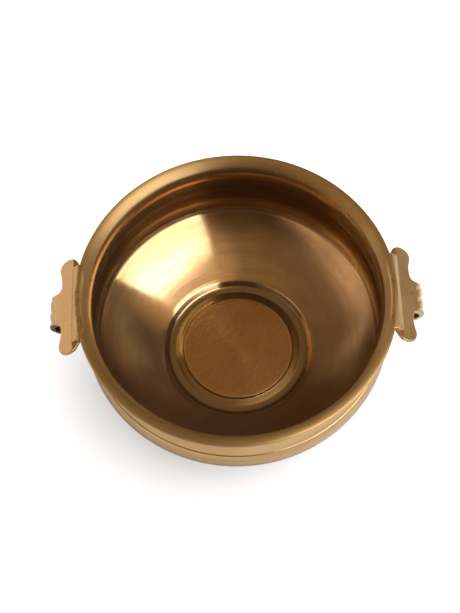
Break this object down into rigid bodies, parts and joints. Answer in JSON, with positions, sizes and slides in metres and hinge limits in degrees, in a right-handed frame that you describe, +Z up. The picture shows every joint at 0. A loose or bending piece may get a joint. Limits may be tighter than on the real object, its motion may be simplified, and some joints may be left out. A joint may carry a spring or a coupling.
{
  "type": "urli bowl",
  "caption": "Wide shallow brass bowl with a flared rim, a foot ring, a raised disc in its floor and a lobed scroll handle on each side, for flowers, water or cooking.",
  "frame": {"origin": "centre of the foot ring's flat bottom face", "axes": "+Z up through the mouth, +X through the right handle; the left handle is on -X"},
  "size_m": [0.2976, 0.2542, 0.1121],
  "materials": {
    "bowl_brass": "turned and hand rubbed, warm antique tone",
    "handle_brass": "satin, sanded by hand",
    "filler_brass": "filed, slightly pitted"
  },
  "bodies": {
    "root": {"bowl_shell": "bowl_brass", "right_handle": "handle_brass", "left_handle": "handle_brass", "right_braze_fillet": "filler_brass", "left_braze_fillet": "filler_brass"}
  },
  "joints": []
}
